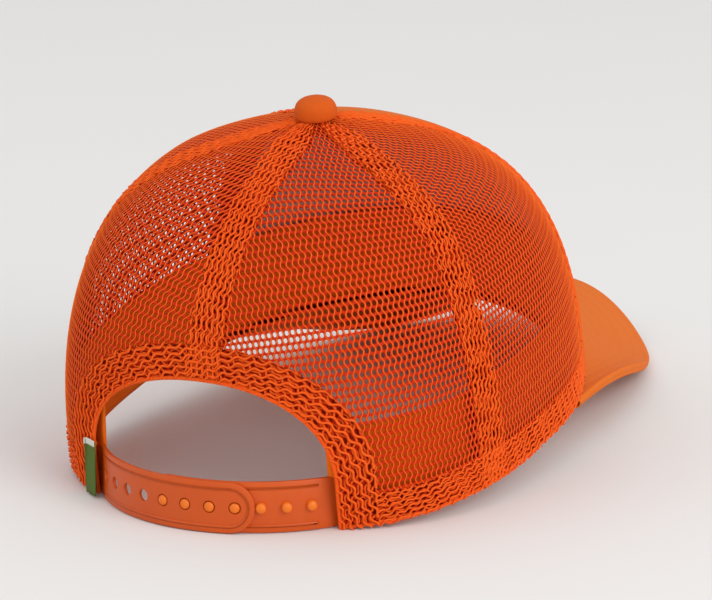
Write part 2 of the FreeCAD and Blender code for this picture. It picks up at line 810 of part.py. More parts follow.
make_panels()
make_front_lining()
make_seam_bands()
make_hems()
make_arch_binding()
make_sweatband()
make_label()
make_peak()
derive_sizes()
make_hole_strap()
make_peg_strap()
make_strap_tails()
make_button()
make_rivet()
lean_place, box_middle = stand_on_floor()
check_shapes()

os.makedirs("parts", exist_ok=True)
for node in nodes:
    node.Shape.exportStep("parts/%s.step" % node.Label)
print("lean %.2f degrees, %d sub-parts" % (LEAN, len(nodes)))
print("left hinge", hinge_line(1, STRAP_RADIUS, box_middle))
print("right hinge", hinge_line(-1, size("peg_strap_face"), box_middle))
print("rim centre", lean_place.multVec(Vector()) - box_middle)
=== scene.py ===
"""A trucker mesh cap on a pale studio floor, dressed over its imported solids."""

import json
import math

import bmesh
import bpy
import numpy as np
from mathutils import Matrix, Vector


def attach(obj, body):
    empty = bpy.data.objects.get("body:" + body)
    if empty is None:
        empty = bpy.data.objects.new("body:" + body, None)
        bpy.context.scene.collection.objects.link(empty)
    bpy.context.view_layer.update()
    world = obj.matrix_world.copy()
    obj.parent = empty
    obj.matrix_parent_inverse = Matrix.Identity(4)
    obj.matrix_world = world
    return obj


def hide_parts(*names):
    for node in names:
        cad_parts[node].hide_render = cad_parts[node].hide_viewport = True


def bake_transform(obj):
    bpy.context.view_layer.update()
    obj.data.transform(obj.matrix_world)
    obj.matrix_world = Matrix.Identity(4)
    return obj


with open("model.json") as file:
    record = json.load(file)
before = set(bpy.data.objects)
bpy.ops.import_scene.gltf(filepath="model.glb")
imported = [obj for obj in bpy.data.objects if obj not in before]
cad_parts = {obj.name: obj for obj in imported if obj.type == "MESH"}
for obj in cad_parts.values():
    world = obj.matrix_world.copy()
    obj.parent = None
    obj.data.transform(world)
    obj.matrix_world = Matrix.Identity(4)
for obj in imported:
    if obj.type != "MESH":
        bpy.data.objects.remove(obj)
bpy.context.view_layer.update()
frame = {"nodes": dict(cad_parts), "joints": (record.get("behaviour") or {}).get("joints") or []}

MM = 0.001

# The cap's own form, in millimetres, upright about its head opening; azimuths are in degrees from
# the wearer's left, so 90 is the back seam, and climb runs from 0 at the rim to 1 at the top.
# Seam bands narrow within CROWDING of the top and end SEAM_TOP from it; climb to the power
# 1 / EVEN rises evenly up the crown; BACK_DEPTH is how far behind the middle the opening lies.
CROWN_LENGTH = 204.0
CROWN_WIDTH = 162.0
CROWN_HEIGHT = 108.0
FRONT_RISE = 7.0
SETBACK = 5.7
CONE = 0.185
SHOULDER = 0.8
SQUARENESS = (1.95, 2.8)
END_FALL = (0.9, 0.62)
SIDE_FALL = 0.31
RIM_CENTRE = np.array([0.004, 36.261, 13.338])
LEAN = math.radians(8.11)
BACK = 90.0
FRONT = 270.0
REAR_RIGHT = 150.0
FRONT_RIGHT = 212.0
FRONT_LEFT = 328.0
FRONT_BOW = 34.0
REAR_LEFT = 30.0
ARCH_HALF = 45.0
ARCH_POWER = 2.35
ARCH_LEG = 14.0
ARCH_CREST = 33.5
BINDING = 11.0
HEM = 12.0
BAND_HEIGHT = 33.6
HALF_BAND = 6.0
COLUMN = 2.0
ROW = 2.4
HOLE = (0.7, 0.9)
STRAND_RADIUS = 0.22
FOLD_STRAND_RADIUS = 0.4
CROWDING = 16.0
BUTTON_RADIUS = 7.0
SEAM_TOP = 5.5
EVEN = 0.7
BACK_DEPTH = 94.0


# ---- materials

class Wire:
    """A socket of a finish; arithmetic on it adds Math nodes."""

    def __init__(self, finish, socket):
        self.finish = finish
        self.socket = socket

    def maths(self, operation, *values):
        return self.finish.node("ShaderNodeMath", {"operation": operation}, values)

    def __add__(self, other):
        return self.maths("ADD", self, other)

    def __sub__(self, other):
        return self.maths("SUBTRACT", self, other)

    def __rsub__(self, other):
        return self.maths("SUBTRACT", other, self)

    def __mul__(self, other):
        return self.maths("MULTIPLY", self, other)

    def wave(self):
        """A sine of the value, from 0 to 1."""
        return self.maths("SINE", self) * 0.5 + 0.5


class Finish:
    """A procedural material, built node by node."""

    def __init__(self, name, **settings):
        self.material = bpy.data.materials.new(name)
        self.material.use_nodes = True
        self.tree = self.material.node_tree
        self.shader = self.tree.nodes["Principled BSDF"]
        for socket, value in settings.items():
            self.shader.inputs[socket.replace("_", " ")].default_value = value

    def node(self, kind, settings, values, output=0):
        """Any node: its type, its settings, and what its inputs get, by place or by name."""
        made = self.tree.nodes.new(kind)
        for key, value in settings.items():
            setattr(made, key, value)
        pairs = values.items() if isinstance(values, dict) else enumerate(values)
        for key, value in pairs:
            if isinstance(value, Wire):
                self.tree.links.new(value.socket, made.inputs[key])
            else:
                made.inputs[key].default_value = value
        return Wire(self, made.outputs[output])

    def place(self):
        return self.node("ShaderNodeTexCoord", {}, {}, output="Object")

    def cloth_place(self):
        """Across and along the cloth, in millimetres."""
        uv = self.node("ShaderNodeUVMap", {"uv_map": "cloth"}, {})
        across = self.node("ShaderNodeSeparateXYZ", {}, [uv], output=0)
        along = Wire(self, across.socket.node.outputs[1])
        return across, along

    def noise(self, scale, detail=3.0):
        values = {"Vector": self.place(), "Scale": scale, "Detail": detail}
        return self.node("ShaderNodeTexNoise", {}, values, output=0)

    def blend(self, share, first, second):
        settings = {"data_type": "RGBA"}
        values = {0: share, 6: (*first, 1.0), 7: (*second, 1.0)}
        return self.node("ShaderNodeMix", settings, values, output=2)

    def bump(self, height, strength, distance):
        values = {"Strength": strength, "Distance": distance, "Height": height}
        normal = self.node("ShaderNodeBump", {}, values, output="Normal")
        self.tree.links.new(normal.socket, self.shader.inputs["Normal"])

    def feed(self, name, wire):
        self.tree.links.new(wire.socket, self.shader.inputs[name])

    def dress(self, tone, colours, rough, height, strength, depth):
        """Colour by the tone, roughness, and a raised surface; gives the material."""
        self.feed("Base Color", self.blend(tone, *colours))
        self.feed("Roughness", rough)
        self.bump(height, strength, depth)
        return self.material


def knit_finish(name, dark, light, rough):
    """Polyester knit: dull, mottled by how each strand takes the dye."""
    finish = Finish(name, Specular_IOR_Level=0.1)
    mottle = finish.noise(900.0)
    patch = finish.noise(35.0, 2.0)
    return finish.dress(mottle * 0.6 + patch * 0.4, (dark, light), mottle * 0.15 + rough,
                        finish.noise(5200.0), 0.35, 0.0001)


def twill_finish(name, dark, light, pitch=1.1, depth=0.00012):
    """Cotton twill: diagonal ribs in the cloth's own directions, brushed and slightly uneven."""
    finish = Finish(name, Specular_IOR_Level=0.15)
    across, along = finish.cloth_place()
    ribs = ((across + along * 1.25) * (2 * math.pi / pitch)).wave()
    threads = ((across - along * 0.8) * (2 * math.pi / (pitch * 0.62))).wave()
    cloth = ribs * 0.75 + threads * 0.25
    fuzz = finish.noise(2600.0, 4.0)
    patch = finish.noise(28.0, 3.0)
    tone = cloth * 0.5 + fuzz * 0.25 + patch * 0.25
    return finish.dress(tone, (dark, light), fuzz * 0.12 + 0.74, cloth + fuzz * 0.3, 0.7, depth)


def woven_finish(name, dark, light, pitch, depth, rough=0.7):
    """Plain weave: warp and weft go over and under each other in turn."""
    finish = Finish(name, Specular_IOR_Level=0.15)
    across, along = finish.cloth_place()
    turn = 2 * math.pi / pitch
    warp = (across * turn).wave()
    weft = (along * turn).wave()
    cloth = warp * weft + (1 - warp) * (1 - weft)
    fuzz = finish.noise(2200.0, 3.0)
    patch = finish.noise(30.0, 2.0)
    tone = cloth * 0.45 + fuzz * 0.3 + patch * 0.25
    return finish.dress(tone, (dark, light), fuzz * 0.12 + rough, cloth, 0.6, depth)


def grained_finish(name, dark, light, tone, grain, rough, bump, **settings):
    """A plain stuff: its tone and its grain each a noise (scale, detail), rough (spread, least)."""
    finish = Finish(name, **settings)
    texture = finish.noise(*grain)
    return finish.dress(finish.noise(*tone), (dark, light), texture * rough[0] + rough[1], texture, *bump)


def vinyl_finish(name, dark, light):
    """Moulded vinyl: satin and faintly grained."""
    return grained_finish(name, dark, light, (60.0, 3.0), (3000.0, 2.0), (0.16, 0.34), (0.12, 0.00005),
                          Specular_IOR_Level=0.4)


def floor_finish():
    finish = Finish("floor_paper")
    grain = finish.noise(12.0, 4.0)
    finish.feed("Base Color", finish.blend(grain, (0.80, 0.793, 0.76), (0.81, 0.803, 0.77)))
    finish.feed("Roughness", grain * 0.05 + 0.85)
    return finish.material


# Painted light: the knit is one yarn, but its strands get a brighter colour as a painted highlight, and its
# web a darker one as painted shade for the dim inside seen through it.
SHADED_WEB = knit_finish("mesh_web_painted_shade", (0.46, 0.016, 0.0006), (0.62, 0.031, 0.001), 0.55)
HIGHLIT_STRAND = knit_finish("mesh_strand_painted_highlight", (0.92, 0.13, 0.008), (1.0, 0.24, 0.022), 0.45)
# The folded layers repeat this painted light: brighter strands as painted highlight and a darker web as
# painted shade, with the strands darker and redder than the panel's as painted shade between the layers.
SHADED_FOLD_WEB = knit_finish("folded_web_painted_shade", (0.50, 0.014, 0.0007), (0.66, 0.032, 0.0014), 0.55)
HIGHLIT_FOLD_STRAND = knit_finish("folded_strand_painted_highlight", (0.82, 0.07, 0.005), (0.97, 0.17, 0.018), 0.5)
TAPE = woven_finish("seam_tape", (0.34, 0.010, 0.0006), (0.46, 0.022, 0.001), 0.7, 0.00008)
TWILL = twill_finish("cap_twill", (0.66, 0.125, 0.010), (0.80, 0.185, 0.018))
BUTTON_TWILL = twill_finish("button_twill", (0.58, 0.075, 0.004), (0.74, 0.125, 0.009), 0.8)
BUCKRAM = woven_finish("front_buckram", (0.56, 0.38, 0.32), (0.78, 0.62, 0.56), 1.6, 0.0002)
BAND_CLOTH = woven_finish("sweatband_cloth", (0.96, 0.15, 0.004), (1.0, 0.21, 0.007),
                          0.5, 0.00005)
VINYL = vinyl_finish("strap_vinyl", (0.57, 0.072, 0.001), (0.66, 0.092, 0.002))
STITCH = grained_finish("stitch_thread", (0.66, 0.13, 0.02), (0.82, 0.21, 0.04), (3500.0, 2.0),
                        (3500.0, 2.0), (0.2, 0.5), (0.4, 0.0001), Specular_IOR_Level=0.25)
GREEN = woven_finish("label_weave", (0.075, 0.12, 0.02), (0.125, 0.19, 0.04), 0.45, 0.00006)
CREAM = woven_finish("label_fold", (0.62, 0.60, 0.52), (0.78, 0.76, 0.68), 0.45, 0.00006)
# Painted light: the pegs are moulded from the strap's vinyl but get a lighter copy of it, a painted
# highlight for light glowing through them.
LIT_PEG_VINYL = vinyl_finish("peg_vinyl_painted_highlight", (0.80, 0.15, 0.004), (0.88, 0.20, 0.008))
METAL = grained_finish("rivet_metal", (0.52, 0.10, 0.02), (0.62, 0.14, 0.03), (500.0, 4.0),
                       (500.0, 4.0), (0.25, 0.35), (0.1, 0.0001), Metallic=0.3, IOR=1.5)
PAPER = floor_finish()


# ---- the cap's form

def crown(azimuth, climb):
    """Points of the crown's outer face."""
    round_turn = np.radians(azimuth)
    c = np.cos(round_turn)
    s = np.sin(round_turn)
    power = np.where(s > 0, SQUARENESS[1], SQUARENESS[0])
    reach = ((abs(c) * 2 / CROWN_WIDTH) ** power + (abs(s) * 2 / CROWN_LENGTH) ** power) ** (-1 / power)
    fall = np.where(s > 0, END_FALL[1], END_FALL[0]) * s ** 2 + SIDE_FALL * c ** 2
    turn = math.pi / 2 * (1 - (1 - climb ** 2) ** 3)
    share = np.maximum(np.cos(turn), 1e-9) ** fall
    lift = (1 - CONE) * np.sin(turn) ** SHOULDER + CONE * (1 - share)
    rise = FRONT_RISE * np.maximum(-s, 0) ** 2
    x = reach * share * c
    y = reach * share * s + SETBACK * lift
    return np.stack([x, y, rise + (CROWN_HEIGHT - rise) * lift], axis=-1)


def skin(azimuth, climb, inset):
    """Points the given distance inside the crown's outer face."""
    azimuth = np.asarray(azimuth, float)
    climb = np.clip(np.asarray(climb, float), 0.0, 1.0)
    low = np.minimum(climb, 0.992)
    around = crown(azimuth + 0.2, low) - crown(azimuth - 0.2, low)
    upward = crown(azimuth, low + 0.004) - crown(azimuth, low)
    return crown(azimuth, climb) - unit(np.cross(around, upward)) * np.asarray(inset)[..., None]


def stand(points):
    """From the cap's own upright frame, in millimetres, to the shared frame, in metres."""
    x, y, z = np.moveaxis(points, -1, 0)
    c = math.cos(LEAN)
    s = math.sin(LEAN)
    turned = np.stack([x, y * c + z * s, z * c - y * s], axis=-1)
    return (turned + RIM_CENTRE) * MM


def climb_for(azimuth, measure, target):
    """Climb at which a measure that rises with the climb reaches its target."""
    low = np.zeros_like(azimuth, float)
    high = np.ones_like(low)
    for _ in range(30):
        middle = (low + high) / 2
        under = measure(azimuth, middle) < target
        low = np.where(under, middle, low)
        high = np.where(under, high, middle)
    return (low + high) / 2


def height_over_rim(azimuth, climb):
    return crown(azimuth, climb)[..., 2] - crown(azimuth, 0 * climb)[..., 2]


def climb_at_height(azimuth, height):
    azimuth, height = np.broadcast_arrays(np.asarray(azimuth, float), np.asarray(height, float))
    return climb_for(azimuth, height_over_rim, np.maximum(height, 0.0))


def axis_radius(azimuth, climb):
    points = crown(azimuth, climb) - crown(azimuth, 1.0 + 0 * climb)
    return np.hypot(points[..., 0], points[..., 1])


def climb_at_radius(azimuth, radius):
    azimuth, radius = np.broadcast_arrays(np.asarray(azimuth, float), np.asarray(radius, float))
    return climb_for(azimuth, lambda a, c: -axis_radius(a, c), -radius)


def lengths_along(line):
    """How far each point of a line lies along it."""
    return np.concatenate([[0.0], np.cumsum(np.linalg.norm(np.diff(line, axis=0), axis=1))])


def meridian(azimuth, samples=500):
    """Lengths from the rim up a meridian, and the climbs that they belong to."""
    climbs = np.linspace(0, 1, samples) ** EVEN
    return lengths_along(crown(np.full(samples, azimuth), climbs)), climbs


def rim(start, end, samples):
    """Lengths along the rim between two azimuths, the azimuths, and the points."""
    angles = np.linspace(start, end, samples)
    line = crown(angles, np.zeros(samples))
    return lengths_along(line), angles, line


def locate(x, z):
    """Azimuth and climb of points on the back of the crown, from their x and their height."""
    azimuth = BACK - np.degrees(np.arctan2(x, 95.0))
    climb = climb_at_height(azimuth, z)
    for _ in range(12):
        gap = x - crown(azimuth, climb)[..., 0]
        slope = (crown(azimuth + 0.1, climb) - crown(azimuth - 0.1, climb))[..., 0] / 0.2
        azimuth = azimuth + np.clip(gap / slope, -4, 4)
        climb = climb_at_height(azimuth, z)
    return azimuth, climb


def arch_share(points, grow=0.0):
    """1 on the edge of the back opening, less inside it, more outside."""
    x, y, z = np.moveaxis(points, -1, 0)
    wide = (abs(x) / (ARCH_HALF + grow)) ** ARCH_POWER
    high = (np.maximum(z - ARCH_LEG, 0) / (ARCH_CREST + grow)) ** ARCH_POWER
    return np.where(y > 0, (wide + high) ** (1 / ARCH_POWER), 9.0)


def seam_azimuth(azimuth, climb):
    """A seam's azimuth at a climb; the two front seams bow forward towards the top."""
    bow = {FRONT_RIGHT: FRONT_BOW, FRONT_LEFT: -FRONT_BOW}.get(azimuth, 0.0)
    return azimuth + bow * climb ** 2


def narrowing(radius):
    """Seam bands narrow towards the button."""
    return np.clip(radius / CROWDING, 0.25, 1.0)


def band_turn(azimuth, climb):
    """Half the width of a seam band, in degrees of azimuth, less what its panel tucks under it."""
    radius = axis_radius(azimuth, climb)
    return np.degrees((HALF_BAND - 0.5) * narrowing(radius) / np.maximum(radius, 1.0))


# ---- pieces and meshes

def new_object(name, data):
    made = bpy.data.objects.new(name, data)
    bpy.context.scene.collection.objects.link(made)
    return made


def add_piece(name, mesh, material, body="crown", nodes=()):
    """A mesh as a piece of the scene; with no body, it is attached to none."""
    mesh.materials.clear()
    mesh.materials.append(material)
    piece = new_object(name, mesh)
    mesh.shade_smooth()
    if body:
        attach(piece, body)
    if nodes:
        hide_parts(*nodes)
    return piece


def thicken(piece, thickness, offset=0.0):
    wall = piece.modifiers.new("thickness", "SOLIDIFY")
    wall.thickness = thickness * MM
    wall.offset = offset


def to_mesh(bm, name):
    mesh = bpy.data.meshes.new(name)
    bm.to_mesh(mesh)
    bm.free()
    return mesh


def places(bm):
    return np.array([vertex.co[:] for vertex in bm.verts])


def set_places(bm, points):
    for vertex, point in zip(bm.verts, points):
        vertex.co = point


def note_cloth(bm, across, along):
    """Keep each vertex's place on the flat cloth, in millimetres, as a UV map."""
    layer = bm.loops.layers.uv.new("cloth")
    for face in bm.faces:
        for loop in face.loops:
            index = loop.vert.index
            loop[layer].uv = (across[index], along[index])


def face_out(bm):
    bmesh.ops.recalc_face_normals(bm, faces=bm.faces[:])


def flip(bm):
    bmesh.ops.reverse_faces(bm, faces=bm.faces[:])


def only(items, kind=bmesh.types.BMVert):
    return [item for item in items if isinstance(item, kind)]


def unit(vectors):
    return vectors / np.linalg.norm(vectors, axis=-1, keepdims=True)


def everything(bm):
    return bm.verts[:] + bm.edges[:] + bm.faces[:]


def repeat(bm, step, copies):
    """Copy all that the mesh holds along a straight line."""
    if copies > 0:
        bmesh.ops.spin(bm, geom=everything(bm), cent=(0, 0, 0), axis=(0, 0, 1), dvec=step, angle=0,
                       steps=copies, use_duplicate=True)


def sweep(bm, step, steps):
    """Draw the mesh's edges out along a straight line."""
    bmesh.ops.spin(bm, geom=bm.edges[:], cent=(0, 0, 0), axis=(0, 0, 1), dvec=step, angle=0,
                   steps=steps, use_duplicate=False)


def revolve(bm, profile, x, steps):
    """Turn a profile of radii and heights about an upright line through x."""
    points = [bm.verts.new((x + radius, 0, z)) for radius, z in profile]
    edges = [bm.edges.new(pair) for pair in zip(points, points[1:])]
    bmesh.ops.spin(bm, geom=edges, cent=(x, 0, 0), axis=(0, 0, 1), angle=2 * math.pi, steps=steps,
                   use_merge=True, use_duplicate=False)


def sheet(cells):
    """A grid, with its vertices' shares across and along it."""
    bm = bmesh.new()
    bmesh.ops.create_grid(bm, x_segments=cells[0], y_segments=cells[1], size=0.5)
    flat = places(bm)
    return bm, flat[:, 0] + 0.5, flat[:, 1] + 0.5


def flat_web(columns, rows):
    """A flat sheet of knit: staggered rows of oval holes, each in a cell one column wide."""
    bm = bmesh.new()
    bmesh.ops.create_circle(bm, cap_ends=False, segments=8, radius=1.0)
    inner = bm.verts[:]
    grown = bmesh.ops.extrude_edge_only(bm, edges=bm.edges[:])
    for vertex in only(grown["geom"]):
        vertex.co.x = round(vertex.co.x) * COLUMN / 2
        vertex.co.y = round(vertex.co.y) * ROW / 2
    for vertex in inner:
        vertex.co.x *= HOLE[0]
        vertex.co.y *= HOLE[1]
    face_out(bm)
    if bm.faces[:][0].normal.z < 0:
        flip(bm)
    repeat(bm, (COLUMN, 0, 0), columns - 1)
    upper = bmesh.ops.duplicate(bm, geom=everything(bm))["geom"]
    bmesh.ops.translate(bm, verts=only(upper), vec=(COLUMN / 2, ROW, 0))
    repeat(bm, (0, 2 * ROW, 0), rows // 2 - 1)
    bmesh.ops.remove_doubles(bm, verts=bm.verts[:], dist=0.02)
    return bm


def flat_strands(columns, rows, radius=STRAND_RADIUS):
    """The wavy strands of the same knit, one between each two columns of holes."""
    bm = bmesh.new()
    bmesh.ops.create_circle(bm, cap_ends=False, segments=4, radius=radius,
                            matrix=Matrix.Rotation(math.pi / 2, 4, "X"))
    sweep(bm, (0, ROW / 4, 0), rows * 4)
    face_out(bm)
    face = bm.faces[:][0]
    centre = face.calc_center_median()
    if face.normal.x * centre.x + face.normal.z * centre.z < 0:
        flip(bm)
    for vertex in bm.verts:
        vertex.co.x += COLUMN / 4 * (math.cos(math.pi * vertex.co.y / ROW) + 1)
    repeat(bm, (COLUMN, 0, 0), columns - 1)
    return bm


# ---- laying cloth on the crown

def slopes(azimuth, rise):
    """Directions along the azimuth and up the climb; rise is the climb that runs evenly."""
    ahead = crown(azimuth + 0.05, rise ** EVEN) - crown(azimuth - 0.05, rise ** EVEN)
    upper = np.minimum(rise + 0.001, 0.999)
    lower = np.maximum(rise - 0.001, 1e-5)
    above = crown(azimuth, upper ** EVEN) - crown(azimuth, lower ** EVEN)
    return ahead / 0.1, above / (upper - lower)[..., None]


def develop(reference, least, most):
    """
    Lay flat cloth on the crown without stretching it: its rows leave a reference meridian at right
    angles and run straight over the surface. The table holds azimuth and rise, row by row, for each
    whole millimetre from least to most.
    """
    lengths, climbs = meridian(reference)
    rows = np.arange(0.0, lengths[-1] - 1.5, 1.0)
    start = np.interp(rows, lengths, climbs) ** (1 / EVEN)
    table = np.zeros((len(rows), most - least + 1, 2))
    for sense, count in ((1, most), (-1, -least)):
        azimuth = np.full(len(rows), float(reference))
        rise = start.copy()
        heading = slopes(azimuth, rise)[0] * sense
        table[:, -least] = np.stack([azimuth, rise], axis=-1)
        for step in range(1, count + 1):
            along, up = slopes(azimuth, rise)
            pairs = ((along, along), (along, up), (up, up), (heading, along), (heading, up))
            aa, au, uu, ha, hu = ((first * second).sum(-1) for first, second in pairs)
            spread = aa * uu - au ** 2
            da = (ha * uu - hu * au) / spread
            du = (hu * aa - ha * au) / spread
            length = np.linalg.norm(along * da[:, None] + up * du[:, None], axis=-1)
            before = crown(azimuth, rise ** EVEN)
            azimuth = azimuth + np.clip(da / length, -12, 12)
            rise = np.clip(rise + du / length, 1e-4, 0.999)
            heading = crown(azimuth, rise ** EVEN) - before
            table[:, -least + sense * step] = np.stack([azimuth, rise], axis=-1)
    return table


def look_up(table, least, across, along):
    """Azimuth and climb of places on the developed cloth."""
    i = np.clip(along, 0, table.shape[0] - 1.001)
    j = np.clip(across - least, 0, table.shape[1] - 1.001)
    i0 = i.astype(int)
    j0 = j.astype(int)
    fi = (i - i0)[:, None]
    fj = (j - j0)[:, None]
    lower = table[i0, j0] * (1 - fj) + table[i0, j0 + 1] * fj
    upper = table[i0 + 1, j0] * (1 - fj) + table[i0 + 1, j0 + 1] * fj
    found = lower * (1 - fi) + upper * fi
    return found[:, 0], found[:, 1] ** EVEN


def panel_limits(azimuth, climb, start, end):
    """The azimuths at which a panel's single layer ends, beside the folded bands of its seams."""
    turn = band_turn(azimuth, climb)
    return seam_azimuth(start, climb) + turn, seam_azimuth(end, climb) - turn


def beyond(azimuth, climb, start, end):
    """How far outside a panel's single layer a place lies, in millimetres."""
    points = crown(azimuth, climb)
    per_degree = np.radians(axis_radius(azimuth, climb))
    first, last = panel_limits(azimuth, climb, start, end)
    past = np.maximum(first - azimuth, azimuth - last) * per_degree
    over = BUTTON_RADIUS - 1.5 - axis_radius(azimuth, climb)
    inside = (1 - arch_share(points, BINDING - 0.5)) * ARCH_CREST
    under = HEM - 0.5 - height_over_rim(azimuth, climb)
    return np.maximum(np.maximum(past, over), np.maximum(inside, under))


def trim(azimuth, climb, start, end):
    """Bring places that are just outside a panel back onto its edge."""
    azimuth = np.clip(azimuth, *panel_limits(azimuth, climb, start, end))
    points = crown(azimuth, climb)
    share = arch_share(points, BINDING - 0.5)
    inside = share < 1
    if inside.any():
        x = points[inside, 0] / np.maximum(share[inside], 0.5)
        z = points[inside, 2]
        z = np.where(z > ARCH_LEG, ARCH_LEG + (z - ARCH_LEG) / np.maximum(share[inside], 0.5), z)
        azimuth[inside], climb[inside] = locate(x, z)
    return azimuth, climb


def panel_net(name, reference, start, end, mirror):
    """The web and the wavy strands of the node that it names, straight from the reference meridian."""
    least, most = -95, 60
    table = develop(reference, least, most)
    lengths, _ = meridian(reference)
    columns = int((most - least) / COLUMN)
    rows = int(lengths[-1] / ROW)
    rows -= rows % 2
    # The strands' material carries a painted highlight and the web's carries painted shade.
    kinds = (("web", flat_web, 0.42, 0.9, SHADED_WEB), ("strands", flat_strands, 0.38, 0.6, HIGHLIT_STRAND))
    for kind, make, depth, margin, material in kinds:
        bm = make(columns, rows)
        flat = places(bm)
        across = flat[:, 0] + least + COLUMN
        along = flat[:, 1] + ROW / 2
        azimuth, climb = look_up(table, least, across, along)
        out = beyond(azimuth, climb, start, end) > margin
        azimuth, climb = trim(azimuth, climb.copy(), start, end)
        points = stand(skin(azimuth, climb, depth - flat[:, 2]))
        if mirror:
            points[:, 0] *= -1
        set_places(bm, points)
        bm.verts.ensure_lookup_table()
        lost = [bm.verts[i] for i in np.nonzero(out)[0]]
        bmesh.ops.delete(bm, geom=lost, context="VERTS")
        bmesh.ops.dissolve_degenerate(bm, edges=bm.edges[:], dist=0.00002)
        if mirror:
            flip(bm)
        piece = add_piece("%s_%s" % (name, kind), to_mesh(bm, name), material,
                          nodes=(name,))
        if kind == "web":
            thicken(piece, 0.28)


def strip_net(name, locate_strip, width, length, seed, depths=(0.15, 0.7, 1.25)):
    """
    Layers of knit along the folded edge that it names; locate_strip(across, along) gives azimuth
    and climb, and each layer lies at an angle and a shift of its own, as folded cloth does.
    """
    dice = np.random.default_rng(seed)
    for number, depth in enumerate(depths):
        angle = dice.uniform(0.15, 0.45) * (1 if number % 2 else -1)
        shift = dice.uniform(0, COLUMN, 2)
        c = math.cos(angle)
        s = math.sin(angle)
        columns = int((width * c + length * abs(s)) / COLUMN) + 3
        rows = int((width * abs(s) + length * c) / ROW) + 3
        rows += rows % 2
        innermost = number + 1 == len(depths)
        for kind in ("web", "strands") if innermost else ("strands",):
            if kind == "web":
                # These folded materials carry painted shade in the web and a painted highlight in the
                # strands.
                bm, finish = flat_web(columns, rows), SHADED_FOLD_WEB
            else:
                bm, finish = flat_strands(columns, rows, FOLD_STRAND_RADIUS), HIGHLIT_FOLD_STRAND
            flat = places(bm)
            u = flat[:, 0] - columns * COLUMN / 2 + shift[0]
            v = flat[:, 1] - rows * ROW / 2 + shift[1]
            across = u * c - v * s
            along = u * s + v * c + length / 2
            out = (abs(across) > width / 2 + 0.5) | (along < -0.5) | (along > length + 0.5)
            lost = [vertex for vertex, gone in zip(bm.verts, out) if gone]
            across = np.clip(across, -width / 2, width / 2)
            along = np.clip(along, 0, length)
            inside = ~out
            points = np.zeros((len(flat), 3))
            azimuth, climb = locate_strip(across[inside], along[inside])
            ripple = 0.18 * np.sin(along[inside] * 1.9 + number) * np.sin(across[inside] * 1.3)
            points[inside] = stand(skin(azimuth, climb, depth - flat[inside, 2] + ripple))
            set_places(bm, points)
            bmesh.ops.delete(bm, geom=lost, context="VERTS")
            piece = add_piece("%s_%s_%d" % (name, kind, number + 1), to_mesh(bm, name), finish,
                              nodes=(name,))
            if kind == "web":
                thicken(piece, 0.3)


def tape_strip(name, locate_strip, width, length, depth):
    """A plain tape inside a strip of knit, following the same places."""
    bm, across, along = sheet((6, 80))
    across = (across - 0.5) * width
    along = along * length
    azimuth, climb = locate_strip(across, along)
    note_cloth(bm, across, along)
    set_places(bm, stand(skin(azimuth, climb, np.full(len(across), depth))))
    piece = add_piece(name, to_mesh(bm, name), TAPE)
    face_outward(piece)
    thicken(piece, 0.25)


def face_outward(piece, centre=Vector((0, 0.04, 0.03))):
    """Turn an open sheet so that its faces look away from the inside of the cap."""
    bm = bmesh.new()
    bm.from_mesh(piece.data)
    bm.normal_update()
    votes = sum(face.normal.dot(face.calc_center_median() - centre) * face.calc_area() for face in bm.faces)
    if votes < 0:
        flip(bm)
    bm.to_mesh(piece.data)
    bm.free()


def seam_strip(azimuth, low):
    """Places on the band along a seam, from a height over the rim up to the button."""
    lengths, climbs = meridian(azimuth)
    bottom = float(np.interp(float(climb_at_height(azimuth, low)), climbs, lengths))
    top = float(np.interp(float(climb_at_radius(azimuth, SEAM_TOP)), climbs, lengths))

    def find(across, along):
        climb = np.interp(bottom + along, lengths, climbs)
        middle = seam_azimuth(azimuth, climb)
        radius = axis_radius(middle, climb)
        return middle + np.degrees(np.arctan2(across * narrowing(radius), radius)), climb

    return find, top - bottom


def rim_strip(start, end, low):
    """Places along the rim between two azimuths: across is up from the middle of the hem."""
    lengths, angles, _ = rim(start, end, 300)

    def find(across, along):
        azimuth = np.interp(along, lengths, angles)
        return azimuth, climb_at_height(azimuth, across + low)

    return find, lengths[-1]


def arch_line(grow, samples=240):
    """The outline of the back opening, grown, from the left hem over the top to the right hem."""
    angles = np.linspace(0, math.pi, samples)
    c = np.cos(angles)
    x = (ARCH_HALF + grow) * np.sign(c) * abs(c) ** (2 / ARCH_POWER)
    z = ARCH_LEG + (ARCH_CREST + grow) * np.sin(angles) ** (2 / ARCH_POWER)
    legs = np.linspace(0, ARCH_LEG, 20)[:-1]
    x = np.concatenate([np.full(19, ARCH_HALF + grow), x, np.full(19, -ARCH_HALF - grow)])
    z = np.concatenate([legs, z, legs[::-1]])
    return x, z


def arch_strip():
    """Places on the folded edge of the back opening: across runs outwards from its middle."""
    x, z = arch_line(0)
    lengths = lengths_along(np.stack([x, z], axis=-1))
    far_x, far_z = arch_line(BINDING)

    def find(across, along):
        share = across / BINDING + 0.5
        px = np.interp(along, lengths, x) * (1 - share) + np.interp(along, lengths, far_x) * share
        pz = np.interp(along, lengths, z) * (1 - share) + np.interp(along, lengths, far_z) * share
        return locate(px, pz)

    return find, lengths[-1]


# ---- sheets drawn from a grid

def grid_sheet(name, find, cells, material, thickness, body="crown", nodes=(), offset=-1.0):
    """
    A sheet of cloth from a grid; find(across, along), both from 0 to 1, gives its points in metres
    and its places on the flat cloth in millimetres.
    """
    bm, across, along = sheet(cells)
    points, cloth = find(across, along)
    note_cloth(bm, cloth[0], cloth[1])
    set_places(bm, points)
    piece = add_piece(name, to_mesh(bm, name), material, body=body, nodes=nodes)
    face_outward(piece)
    thicken(piece, thickness, offset)
    return piece


